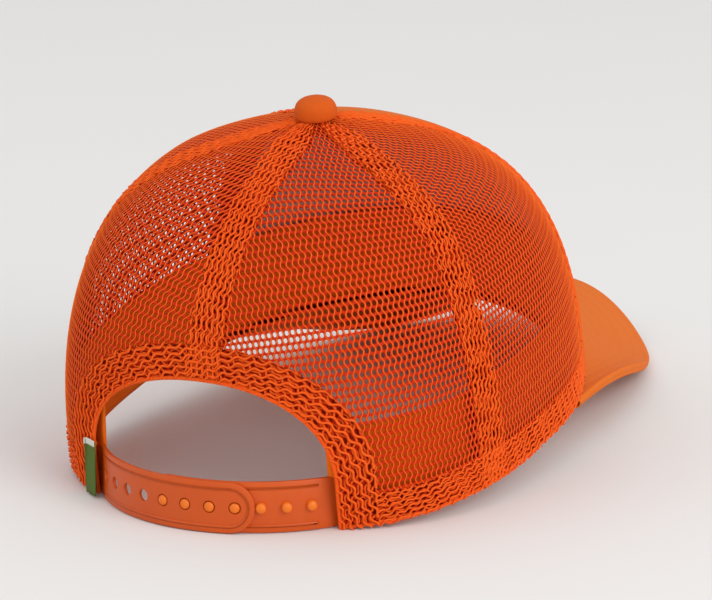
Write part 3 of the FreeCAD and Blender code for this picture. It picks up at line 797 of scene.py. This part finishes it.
def stitch_row(name, points, normals, length=2.3, gap=0.8, width=0.42, height=0.16):
    """A row of sewn stitches: small rounded bars, end to end along a line in metres."""
    along = lengths_along(points) / MM
    bm = bmesh.new()
    for number in range(int(along[-1] / (length + gap))):
        middle = (number + 0.5) * (length + gap)
        spot = Vector([np.interp(middle, along, points[:, i]) for i in range(3)])
        ahead = Vector([np.interp(middle + 0.5, along, points[:, i]) for i in range(3)])
        up = Vector([np.interp(middle, along, normals[:, i]) for i in range(3)]).normalized()
        run = (ahead - spot).normalized()
        side = up.cross(run).normalized()
        turn = Matrix((run, side, up)).transposed().to_4x4()
        size = Matrix.Diagonal((length / 2 * MM, width / 2 * MM, height * MM, 1))
        place = Matrix.Translation(spot) @ turn @ size
        bmesh.ops.create_icosphere(bm, subdivisions=1, radius=1.0, matrix=place)
    add_piece(name, to_mesh(bm, name), STITCH)


# ---- crown

def make_mesh_panels():
    for place, reference, start, end in (("rear", 133.0, BACK, REAR_RIGHT),
                                         ("side", 195.0, REAR_RIGHT, FRONT_RIGHT)):
        panel_net(place + "_panel_right", reference, start, end, False)
        panel_net(place + "_panel_left", reference, start, end, True)


def make_seams():
    """Along each seam: a folded band of knit and the tape inside it."""
    seams = (("back", BACK, ARCH_LEG + ARCH_CREST + 1.0), ("rear_right", REAR_RIGHT, 0.5),
             ("rear_left", REAR_LEFT, 0.5), ("front_right", FRONT_RIGHT, 0.5),
             ("front_left", FRONT_LEFT, 0.5))
    for number, (place, azimuth, low) in enumerate(seams):
        name = "seam_band_" + place
        find, length = seam_strip(azimuth, low)
        strip_net(name, find, 2 * HALF_BAND, length, 20 + number)
        tape_strip(name + "_tape", find, 2 * HALF_BAND - 1, length, 1.9)


def make_front():
    """The cloth front, sewn between the two front seams, and its open-weave lining."""
    def between_seams(across, along, top, margin):
        """Azimuth, climb and places on the flat cloth, from the rim to a radius from the top."""
        climb = climb_at_radius(FRONT_RIGHT + (FRONT_LEFT - FRONT_RIGHT) * across, top) * along ** 0.85
        first = seam_azimuth(FRONT_RIGHT, climb) + margin
        azimuth = first + (seam_azimuth(FRONT_LEFT, climb) - margin - first) * across
        middle = (azimuth - FRONT) * np.radians(95)
        return azimuth, climb, (middle * (1 - 0.6 * along), along * 150)

    def face(across, along):
        azimuth, climb, cloth = between_seams(across, along, SEAM_TOP, 0)
        edge = np.minimum(across, 1 - across)
        tuck = np.exp(-(edge * axis_radius(azimuth, climb)) ** 2)
        return stand(skin(azimuth, climb, tuck * 0.8 - 0.1)), cloth

    def lining(across, along):
        azimuth, climb, cloth = between_seams(across, along, 9.0, 4)
        return stand(skin(azimuth, climb, np.full(len(azimuth), 1.15))), cloth

    grid_sheet("front_panel_cloth", face, (110, 80), TWILL, 0.7,
               nodes=("front_panel",))
    grid_sheet("front_lining_cloth", lining, (60, 50), BUCKRAM, 0.5,
               nodes=("front_lining",))


def make_hems():
    """The folded bottom edge of the mesh and the folded edge of the back opening."""
    outer = np.degrees(np.arctan2(ARCH_HALF + BINDING, 88.0))
    sides = (
        ("rim_hem_right", BACK + outer, FRONT_RIGHT + 4),
        ("rim_hem_left", FRONT_LEFT - 360 - 4, BACK - outer),
    )
    for number, (name, start, end) in enumerate(sides):
        find, length = rim_strip(start, end, HEM / 2)
        strip_net(name, find, HEM, length, 40 + number)
        tape_strip(name + "_backing", find, HEM - 1, length, 1.95)
    find, length = arch_strip()
    strip_net("arch_binding", find, BINDING, length, 50, (-0.1, 0.6, 1.3))
    tape_strip("arch_binding_backing", find, BINDING - 1, length, 1.8)


def make_rolled_edges():
    """The fold itself, along the rim and round the back opening."""
    def roll(name, points, radius):
        curve = bpy.data.curves.new(name, "CURVE")
        curve.dimensions = "3D"
        line = curve.splines.new("POLY")
        line.points.add(len(points) - 1)
        for spot, point in zip(line.points, points):
            spot.co = (*point, 1)
        curve.bevel_depth = radius * MM
        curve.bevel_resolution = 1
        curve.use_fill_caps = True
        holder = new_object(name, curve)
        bpy.context.view_layer.update()
        solid = holder.evaluated_get(bpy.context.evaluated_depsgraph_get())
        mesh = bpy.data.meshes.new_from_object(solid)
        bpy.data.objects.remove(holder)
        # The rolled fold uses the folded strands' colour, which carries a painted highlight.
        add_piece(name, mesh, HIGHLIT_FOLD_STRAND)

    x, z = arch_line(0.3)
    azimuth, climb = locate(x, z)
    roll("arch_edge", stand(skin(azimuth, climb, np.full(len(x), 0.9))), 0.75)
    inner = np.degrees(np.arctan2(ARCH_HALF, BACK_DEPTH))
    angles = np.linspace(BACK + inner, BACK + 360 - inner, 500)
    points = stand(skin(angles, np.zeros(500), np.full(500, 0.9)))
    points[:, 2] += 0.6 * MM
    roll("rim_edge", points, 0.6)


def make_sweatband():
    """One smooth band round the inside, sewn in along the rim, a little slack between stitches."""
    start = BACK + np.degrees(np.arctan2(ARCH_HALF - 3.0, BACK_DEPTH))
    end = BACK + 360 - np.degrees(np.arctan2(ARCH_HALF - 1.0, BACK_DEPTH))
    lengths, angles, _ = rim(start, end, 400)

    def band(across, along):
        azimuth = np.interp(across * lengths[-1], lengths, angles)
        climb = climb_at_height(azimuth, along * BAND_HEIGHT + 0.4)
        slack = 0.35 * np.sin(across * 61.0) * np.sin(along * math.pi)
        points = stand(skin(azimuth, climb, 4.6 + slack + 0.5 * np.sin(along * math.pi)))
        in_front = np.clip(-np.sin(np.radians(azimuth)), 0, 1)
        points[:, 2] -= 1.1 * MM * in_front * (1 - along) ** 8
        return points, (across * lengths[-1], along * BAND_HEIGHT)

    grid_sheet("sweatband_cloth", band, (320, 16), BAND_CLOTH, 0.9,
               nodes=("sweatband",), offset=0)


# ---- peak

PEAK_CORNER = 18.0
PEAK_REACH = 162.0
PEAK_POWER = 2 / 2.15
PEAK_TIP = -22.0
PEAK_SIDE_DIP = 20.0
PEAK_THICK = 3.4
PEAK_ROWS = (5.0, 14.0, 23.0, 32.0, 41.0, 50.0)
PEAK_BEND = 0.93


def peak_edge(turn):
    """The peak's edge; turn runs from -90 at one corner over 0 at the tip to 90 at the other."""
    corner = crown(np.array(360 - PEAK_CORNER), np.array(0.0))
    s = np.sin(np.radians(turn))
    c = np.maximum(np.cos(np.radians(turn)), 0)
    x = corner[0] * np.sign(s) * abs(s) ** PEAK_POWER
    y = corner[1] - PEAK_REACH * c ** PEAK_POWER
    middle = PEAK_TIP * c ** 2 + (corner[2] - 0.1) * s ** 2
    fold = np.sin(np.radians(2 * turn))
    return np.stack([x, y, middle - PEAK_SIDE_DIP * fold ** 2], axis=-1)


def peak_root(across):
    """Where the peak leaves the inside of the front, from one corner to the other."""
    azimuth = 180 + PEAK_CORNER + (180 - 2 * PEAK_CORNER) * across
    root = skin(azimuth, np.zeros_like(azimuth), np.full(azimuth.shape, 4.9))
    return root - np.array([0, 0, 0.1])


def peak_reach(across):
    """From the root straight out to the edge."""
    return peak_edge(180 * across - 90) - peak_root(across)


def peak_point(across, outward, depth):
    """A point of the peak, a depth below its top face."""
    side = np.clip(across, 0.01, 0.99)

    def top(share):
        return peak_root(share) + peak_reach(share) * outward[..., None]

    normal = unit(np.cross(top(side + 0.01) - top(side - 0.01), peak_reach(side)))
    return top(across) + normal * np.asarray(depth)[..., None]


def peak_run(across):
    """The peak's length from root to edge, and the share of it that lies square to the edge."""
    run = np.linalg.norm(peak_reach(across), axis=-1)
    return run, np.clip(np.cos(np.radians(180 * across - 90)) ** 0.35, 0.25, 1)


def make_peak():
    """Two cloth faces over the board, meeting along the edge, quilted by rows of stitches."""
    def face(upper):
        def find(across, along):
            share = 0.002 + 0.996 * (0.5 - 0.5 * np.cos(across * math.pi))
            curl = np.clip((along - PEAK_BEND) / (1 - PEAK_BEND), 0, 1) * math.pi / 2
            edge_drop = (1 - np.cos(curl)) * PEAK_THICK / 2
            swell = np.sin(curl) * PEAK_THICK / 2
            run, slant = peak_run(share)
            out = np.minimum(along / PEAK_BEND, 1.0) * (1 - PEAK_THICK / 2 / run) + swell / run
            margin = (1 - out) * run * slant
            sink = sum(np.exp(-((margin - row) / 0.8) ** 2) for row in PEAK_ROWS) * 0.22
            depth = edge_drop + sink if upper else PEAK_THICK - edge_drop - sink
            points = stand(peak_point(share, out, depth))
            flat = peak_point(share, out, 0 * out)
            return points, (flat[:, 0] * 1.02, flat[:, 1])
        return find

    grid_sheet("peak_top", face(True), (150, 110), TWILL, 0.5,
               nodes=("peak_top_cloth", "peak_board"))
    grid_sheet("peak_underside", face(False), (150, 110), TWILL, 0.5,
               nodes=("peak_under_cloth",), offset=1.0)
    for number, row in enumerate(PEAK_ROWS, start=1):
        share = np.linspace(0.03, 0.97, 500)
        run, slant = peak_run(share)
        out = 1 - row / (run * slant)
        on_peak = out > 0.12
        share, out = share[on_peak], out[on_peak]
        for label, depth, up in (("top", 0.22, -1.0), ("under", PEAK_THICK - 0.22, 1.0)):
            points = stand(peak_point(share, out, np.full(len(share), depth)))
            lifted = stand(peak_point(share, out, np.full(len(share), depth + up)))
            stitch_row("peak_stitches_%s_%d" % (label, number), points, (lifted - points) / MM)


# ---- strap, label and button

STRAP_HEIGHT = 17.0
STRAP_THICK = 1.3
STRAP_BULGE = 24.0
END_SETBACK = 1.9
STRAP_BASE = 0.3
SNAP_PITCH = 8.5
FIRST_SNAP = 4.6 - 1.5 * SNAP_PITCH
HOLES = 8
PEGS = 7
SEWN_END = 17.0


def layer_corner(inset):
    """The corner of the back opening at the rim, on a layer of the crown."""
    azimuth, _ = locate(np.array([ARCH_HALF]), np.array([0.0]))
    return skin(azimuth, np.array([0.0]), np.array([inset]))[0]


STRAP_FACE = 2.0
CORNER = layer_corner(STRAP_FACE)
STRAP_RADIUS = (CORNER[0] ** 2 + STRAP_BULGE ** 2) / (2 * STRAP_BULGE)
STRAP_CENTRE = CORNER[1] + STRAP_BULGE - STRAP_RADIUS
HINGE_ARC = STRAP_RADIUS * math.asin((ARCH_HALF - 2.0) / STRAP_RADIUS)
HEM_CORNER = layer_corner(0.0)
FLOOR_SHIFT = RIM_CENTRE - HEM_CORNER[1] * np.array([0, 1 - math.cos(LEAN), math.sin(LEAN)])


def round_end(direction):
    """Where a direction from the last snap meets a strap's rounded end, or its straight edges."""
    half = STRAP_HEIGHT / 2
    c = math.cos(direction)
    s = math.sin(direction)
    reach = math.sqrt(half ** 2 - (END_SETBACK * s) ** 2) - END_SETBACK * c
    if reach * c < -END_SETBACK:
        reach = min(half / abs(s), SNAP_PITCH / 2 / max(-c, 1e-6))
    return reach * c, reach * s


def flat_strap(holes, lead, hole_radius):
    """
    Half a strap, flat: x runs from its sewn end along its snaps, y across it. A plain lead, then a
    row of cells with a hole each, the last of which is rounded into the strap's end.
    """
    half = STRAP_HEIGHT / 2
    bm = bmesh.new()
    if hole_radius:
        bmesh.ops.create_circle(bm, cap_ends=False, segments=32, radius=hole_radius)
        lip = bmesh.ops.extrude_edge_only(bm, edges=bm.edges[:])["geom"]
        for vertex in only(lip):
            vertex.co *= (hole_radius + 0.7) / hole_radius
        edges = [edge for edge in only(lip, bmesh.types.BMEdge)
                 if all(vertex.co.length > hole_radius + 0.3 for vertex in edge.verts)]
    else:
        bmesh.ops.create_circle(bm, cap_ends=True, segments=32, radius=2.0)
        edges = bm.edges[:]
    outer = bmesh.ops.extrude_edge_only(bm, edges=edges)["geom"]
    for vertex in only(outer):
        reach = max(abs(vertex.co.x), abs(vertex.co.y))
        vertex.co.x *= SNAP_PITCH / 2 / reach
        vertex.co.y *= half / reach
    repeat(bm, (SNAP_PITCH, 0, 0), holes - 1)
    bmesh.ops.translate(bm, verts=bm.verts[:], vec=(lead + SNAP_PITCH / 2, 0, 0))
    start = [vertex for vertex in bm.verts if abs(vertex.co.x - lead) < 0.01]
    rim = [edge for edge in bm.edges if edge.verts[0] in start and edge.verts[1] in start]
    pulled = bmesh.ops.extrude_edge_only(bm, edges=rim)["geom"]
    bmesh.ops.translate(bm, verts=only(pulled), vec=(-lead, 0, 0))
    last = lead + (holes - 0.5) * SNAP_PITCH
    for vertex in bm.verts:
        u = (vertex.co.x - last) / (SNAP_PITCH / 2)
        v = vertex.co.y / half
        if u > -0.99 and max(abs(u), abs(v)) > 0.99:
            vertex.co.x, vertex.co.y = round_end(math.atan2(vertex.co.y, vertex.co.x - last))
            vertex.co.x += last
    bmesh.ops.remove_doubles(bm, verts=bm.verts[:], dist=0.01)
    bmesh.ops.subdivide_edges(bm, edges=[e for e in bm.edges if abs(e.verts[0].co.x - e.verts[1].co.x) > 3
                                         and max(v.co.x for v in e.verts) < lead + 0.1], cuts=5)
    face_out(bm)
    if sum(face.normal.z for face in bm.faces) < 0:
        flip(bm)
    return bm


def bend_strap(points, start_arc, sense, face_radius):
    """
    From the flat strap to its place: arc runs from the middle towards the wearer's right. The free
    part stands upright on a circle; the sewn end lies on the crown, and one runs into the other.
    """
    arc = start_arc + sense * points[:, 0]
    height = STRAP_HEIGHT / 2 + points[:, 1]
    side = np.sign(arc)
    past = np.maximum(abs(arc) - HINGE_ARC, 0.0)
    turn = (arc - side * past) / STRAP_RADIUS
    radius = face_radius + points[:, 2]
    x = -radius * np.sin(turn) - side * past * np.cos(turn)
    y = STRAP_CENTRE + radius * np.cos(turn) - past * abs(np.sin(turn))
    free = (np.stack([x, y, STRAP_BASE + height], axis=-1) + FLOOR_SHIFT) * MM
    lengths, angles, line = rim(BACK, BACK + 60, 200)
    corner = np.interp(ARCH_HALF - 2.0, -line[:, 0], lengths)
    azimuth = BACK + side * (np.interp(corner + abs(arc) - HINGE_ARC, lengths, angles) - BACK)
    inset = STRAP_FACE + STRAP_RADIUS - radius
    sewn = stand(skin(azimuth, climb_at_height(azimuth, height + 0.3), inset))
    share = np.clip((abs(arc) - HINGE_ARC + 1.0) / 9.0, 0, 1)
    share = (share * share * (3 - 2 * share))[:, None]
    return free * (1 - share) + sewn * share


def strap_bead(name, lead, last, start_arc, sense, face_radius, body):
    """The raised line moulded inside a strap half's outline."""
    inset = 2.2
    half = STRAP_HEIGHT / 2 - inset
    turns = np.linspace(-math.pi / 2, math.pi / 2, 40)
    centre = last - END_SETBACK
    straight = np.linspace(lead, centre, 50)[:-1]
    x = np.concatenate([straight, centre + half * np.cos(turns), straight[::-1]])
    y = np.concatenate([np.full(49, -half), half * np.sin(turns), np.full(49, half)])
    ahead = unit(np.stack([np.gradient(x), np.gradient(y)], axis=-1))
    bm = bmesh.new()
    ring = bmesh.ops.create_circle(bm, cap_ends=False, segments=8, radius=1.0)["verts"]
    shape = places(bm)[:, :2] * (0.55, 0.26)
    sweep(bm, (1, 0, 0), len(x) - 1)
    count = len(ring)
    flat = np.zeros((len(bm.verts), 3))
    for step in range(len(x)):
        rows = slice(step * count, (step + 1) * count)
        flat[rows, 0] = x[step] - ahead[step, 1] * shape[:, 0]
        flat[rows, 1] = y[step] + ahead[step, 0] * shape[:, 0]
        flat[rows, 2] = shape[:, 1]
    note_cloth(bm, flat[:, 0], flat[:, 1])
    set_places(bm, bend_strap(flat, start_arc, sense, face_radius))
    bmesh.ops.holes_fill(bm, edges=bm.edges[:], sides=count)
    face_out(bm)
    add_piece(name, to_mesh(bm, name), VINYL, body=body)


def snap_peg(bm, spot):
    """A round peg with a domed, slightly wider head."""
    profile = ((1.75, -0.25), (1.62, 0.25), (1.5, 0.75), (1.75, 1.05), (1.62, 1.45), (1.0, 1.85),
               (0.0, 1.98))
    revolve(bm, profile, spot, 18)


def hinge_span(body, lift=0.0):
    """Where a piece that crosses a strap's hinge starts and ends its turn, at a lift over the strap."""
    joint = next(j for j in frame["joints"] if j["child"] == body)
    hinge = Vector(joint["pos_m"])
    outward = Vector((math.copysign(MM, hinge.x), 0, 0))
    return hinge + outward * (3.0 + lift), hinge + outward * (lift - 4.8)


def finish_strap(name, bm, start_arc, sense, face_radius, body, nodes):
    """A flat half bent into its place and thickened."""
    flat = places(bm)
    note_cloth(bm, flat[:, 0], flat[:, 1])
    set_places(bm, bend_strap(flat, start_arc, sense, face_radius))
    if sense < 0:
        flip(bm)
    piece = add_piece(name, to_mesh(bm, name), VINYL, body=None, nodes=nodes)
    thicken(piece, STRAP_THICK, -1.0)
    edge = piece.modifiers.new("edges", "BEVEL")
    edge.width = 0.3 * MM
    edge.segments = 2
    edge.limit_method = "ANGLE"
    edge.angle_limit = math.radians(50)
    start, end = hinge_span(body)
    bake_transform(piece)


def make_straps():
    """The two moulded halves: one with holes, outside and over the other, which has pegs."""
    root = HINGE_ARC + SEWN_END
    inner_face = STRAP_RADIUS - STRAP_THICK - 0.1
    halves = (
        ("strap_holes", HOLES, 1.95, root + FIRST_SNAP - 4.5 * SNAP_PITCH, 1.0, STRAP_RADIUS,
         "hole_strap", ("strap_with_holes", "strap_tail_left")),
        ("strap_pegs", PEGS, 0, root - FIRST_SNAP - 6.5 * SNAP_PITCH, -1.0, inner_face,
         "peg_strap", ("strap_with_pegs", "strap_tail_right")),
    )
    for name, snaps, hole_radius, lead, sense, face_radius, body, nodes in halves:
        bm = flat_strap(snaps, lead, hole_radius)
        finish_strap(name + "_half", bm, -sense * root, sense, face_radius, body, nodes)
        strap_bead(name + "_bead", SEWN_END + 5.0, lead + (snaps - 0.5) * SNAP_PITCH, -sense * root, sense,
                   face_radius, body)
    bm = bmesh.new()
    for number in range(PEGS):
        snap_peg(bm, FIRST_SNAP + number * SNAP_PITCH)
    face_out(bm)
    set_places(bm, bend_strap(places(bm), 0.0, 1.0, inner_face))
    # The pegs' lighter vinyl is a painted highlight.
    add_piece("snap_pegs", to_mesh(bm, "snap_pegs"), LIT_PEG_VINYL, body="peg_strap")


def make_label():
    """A bare woven tab sewn round the left edge of the opening, over the start of the strap."""
    reach = 8.5
    past_hinge = 4.5

    def tab(low, high, lift):
        def find(across, along):
            run = reach * across
            place = np.stack([run, low + (high - low) * along, 0 * run], axis=-1)
            fold = np.clip(across / 0.15, 0, 1) * (1 - across) * 2.8
            face = STRAP_RADIUS + STRAP_FACE + lift + fold
            return bend_strap(place, past_hinge - HINGE_ARC - reach, 1.0, face), (run, place[:, 1])
        return find

    face = grid_sheet("label_face", tab(-8.0, 10.5, 1.1), (24, 20), GREEN, 0.45, body=None,
                      nodes=("label_tab",))
    fold = grid_sheet("label_fold", tab(9.0, 11.0, 1.4), (24, 4), CREAM, 0.35, body=None)
    start, end = hinge_span("hole_strap", lift=1.0)
    for piece in (face, fold):
        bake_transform(piece)


def make_button():
    """A cloth-covered button at the top, its cloth gathered under the rim, on a riveted disc."""
    radius = BUTTON_RADIUS
    top = np.array([0.0, SETBACK, CROWN_HEIGHT])
    profile = ((radius - 1.5, -1.6), (radius - 0.1, -1.2), (radius + 0.3, -0.2), (radius + 0.3, 1.2),
               (radius + 0.05, 2.8), (radius - 0.7, 4.3), (radius - 2.2, 5.4), (radius - 4.4, 6.0),
               (0.0, 6.3))
    bm = bmesh.new()
    revolve(bm, profile, 0, 48)
    face_out(bm)
    flat = places(bm)
    note_cloth(bm, flat[:, 0] * 1.1, flat[:, 1] * 1.1)
    turn = np.arctan2(flat[:, 1], flat[:, 0])
    low = np.clip((1.5 - flat[:, 2]) / 3.0, 0, 1)
    flat[:, :2] *= (1 + 0.02 * low * np.cos(turn * 12))[:, None]
    set_places(bm, stand(flat + top))
    piece = add_piece("cloth_button", to_mesh(bm, "cloth_button"), BUTTON_TWILL,
                      nodes=("button",))
    smooth = piece.modifiers.new("smooth", "SUBSURF")
    smooth.levels = 1
    smooth.render_levels = 1
    rivet = frame["nodes"]["button_rivet"]
    rivet.data.materials.clear()
    rivet.data.materials.append(METAL)


# ---- studio

def make_studio():
    bm = bmesh.new()
    bmesh.ops.create_grid(bm, x_segments=4, y_segments=4, size=6.0)
    floor = new_object("floor", to_mesh(bm, "floor"))
    floor.data.materials.append(PAPER)

    def lamp(name, place, aim, size, power):
        light = bpy.data.lights.new(name, "AREA")
        light.shape = "RECTANGLE"
        light.size, light.size_y = size
        light.energy = power
        holder = new_object(name, light)
        holder.location = place
        holder.rotation_euler = (Vector(aim) - Vector(place)).to_track_quat("-Z", "Y").to_euler()

    lamp("key", (-1.9, 0.8, 1.15), (0, 0.03, 0.05), (1.6, 1.6), 24)
    lamp("fill", (1.2, 1.5, 1.7), (0, 0.03, 0.05), (1.8, 1.4), 6)
    lamp("top", (0.0, -0.4, 2.4), (0, 0.03, 0.0), (2.4, 2.4), 5)
    world = bpy.data.worlds.new("studio")
    world.use_nodes = True
    world.node_tree.nodes["Background"].inputs[0].default_value = (0.97, 0.97, 1.0, 1)
    world.node_tree.nodes["Background"].inputs[1].default_value = 0.76
    bpy.context.scene.world = world
    bpy.context.scene.view_settings.view_transform = "Standard"


def make_camera():
    azimuth = math.radians(206.21)
    height = math.radians(14.13)
    back = Vector((math.sin(azimuth) * math.cos(height), -math.cos(azimuth) * math.cos(height),
                   math.sin(height)))
    right = Vector((math.cos(azimuth), math.sin(azimuth), 0))
    up = back.cross(right)
    lens = bpy.data.cameras.new("camera")
    lens.sensor_width = 36.0
    lens.lens = 182.5
    lens.clip_start = 0.05
    lens.clip_end = 30.0
    camera = new_object("camera", lens)
    centre = Vector((0, 0.0355, 0.0538)) + (back * 1249 + right * 3.94 + up * -3.66) * MM
    camera.matrix_world = Matrix.Translation(centre) @ Matrix((right, up, back)).transposed().to_4x4()
    bpy.context.scene.camera = camera


make_mesh_panels()
make_seams()
make_front()
make_hems()
make_rolled_edges()
make_sweatband()
make_peak()
make_straps()
make_label()
make_button()
make_studio()
make_camera()
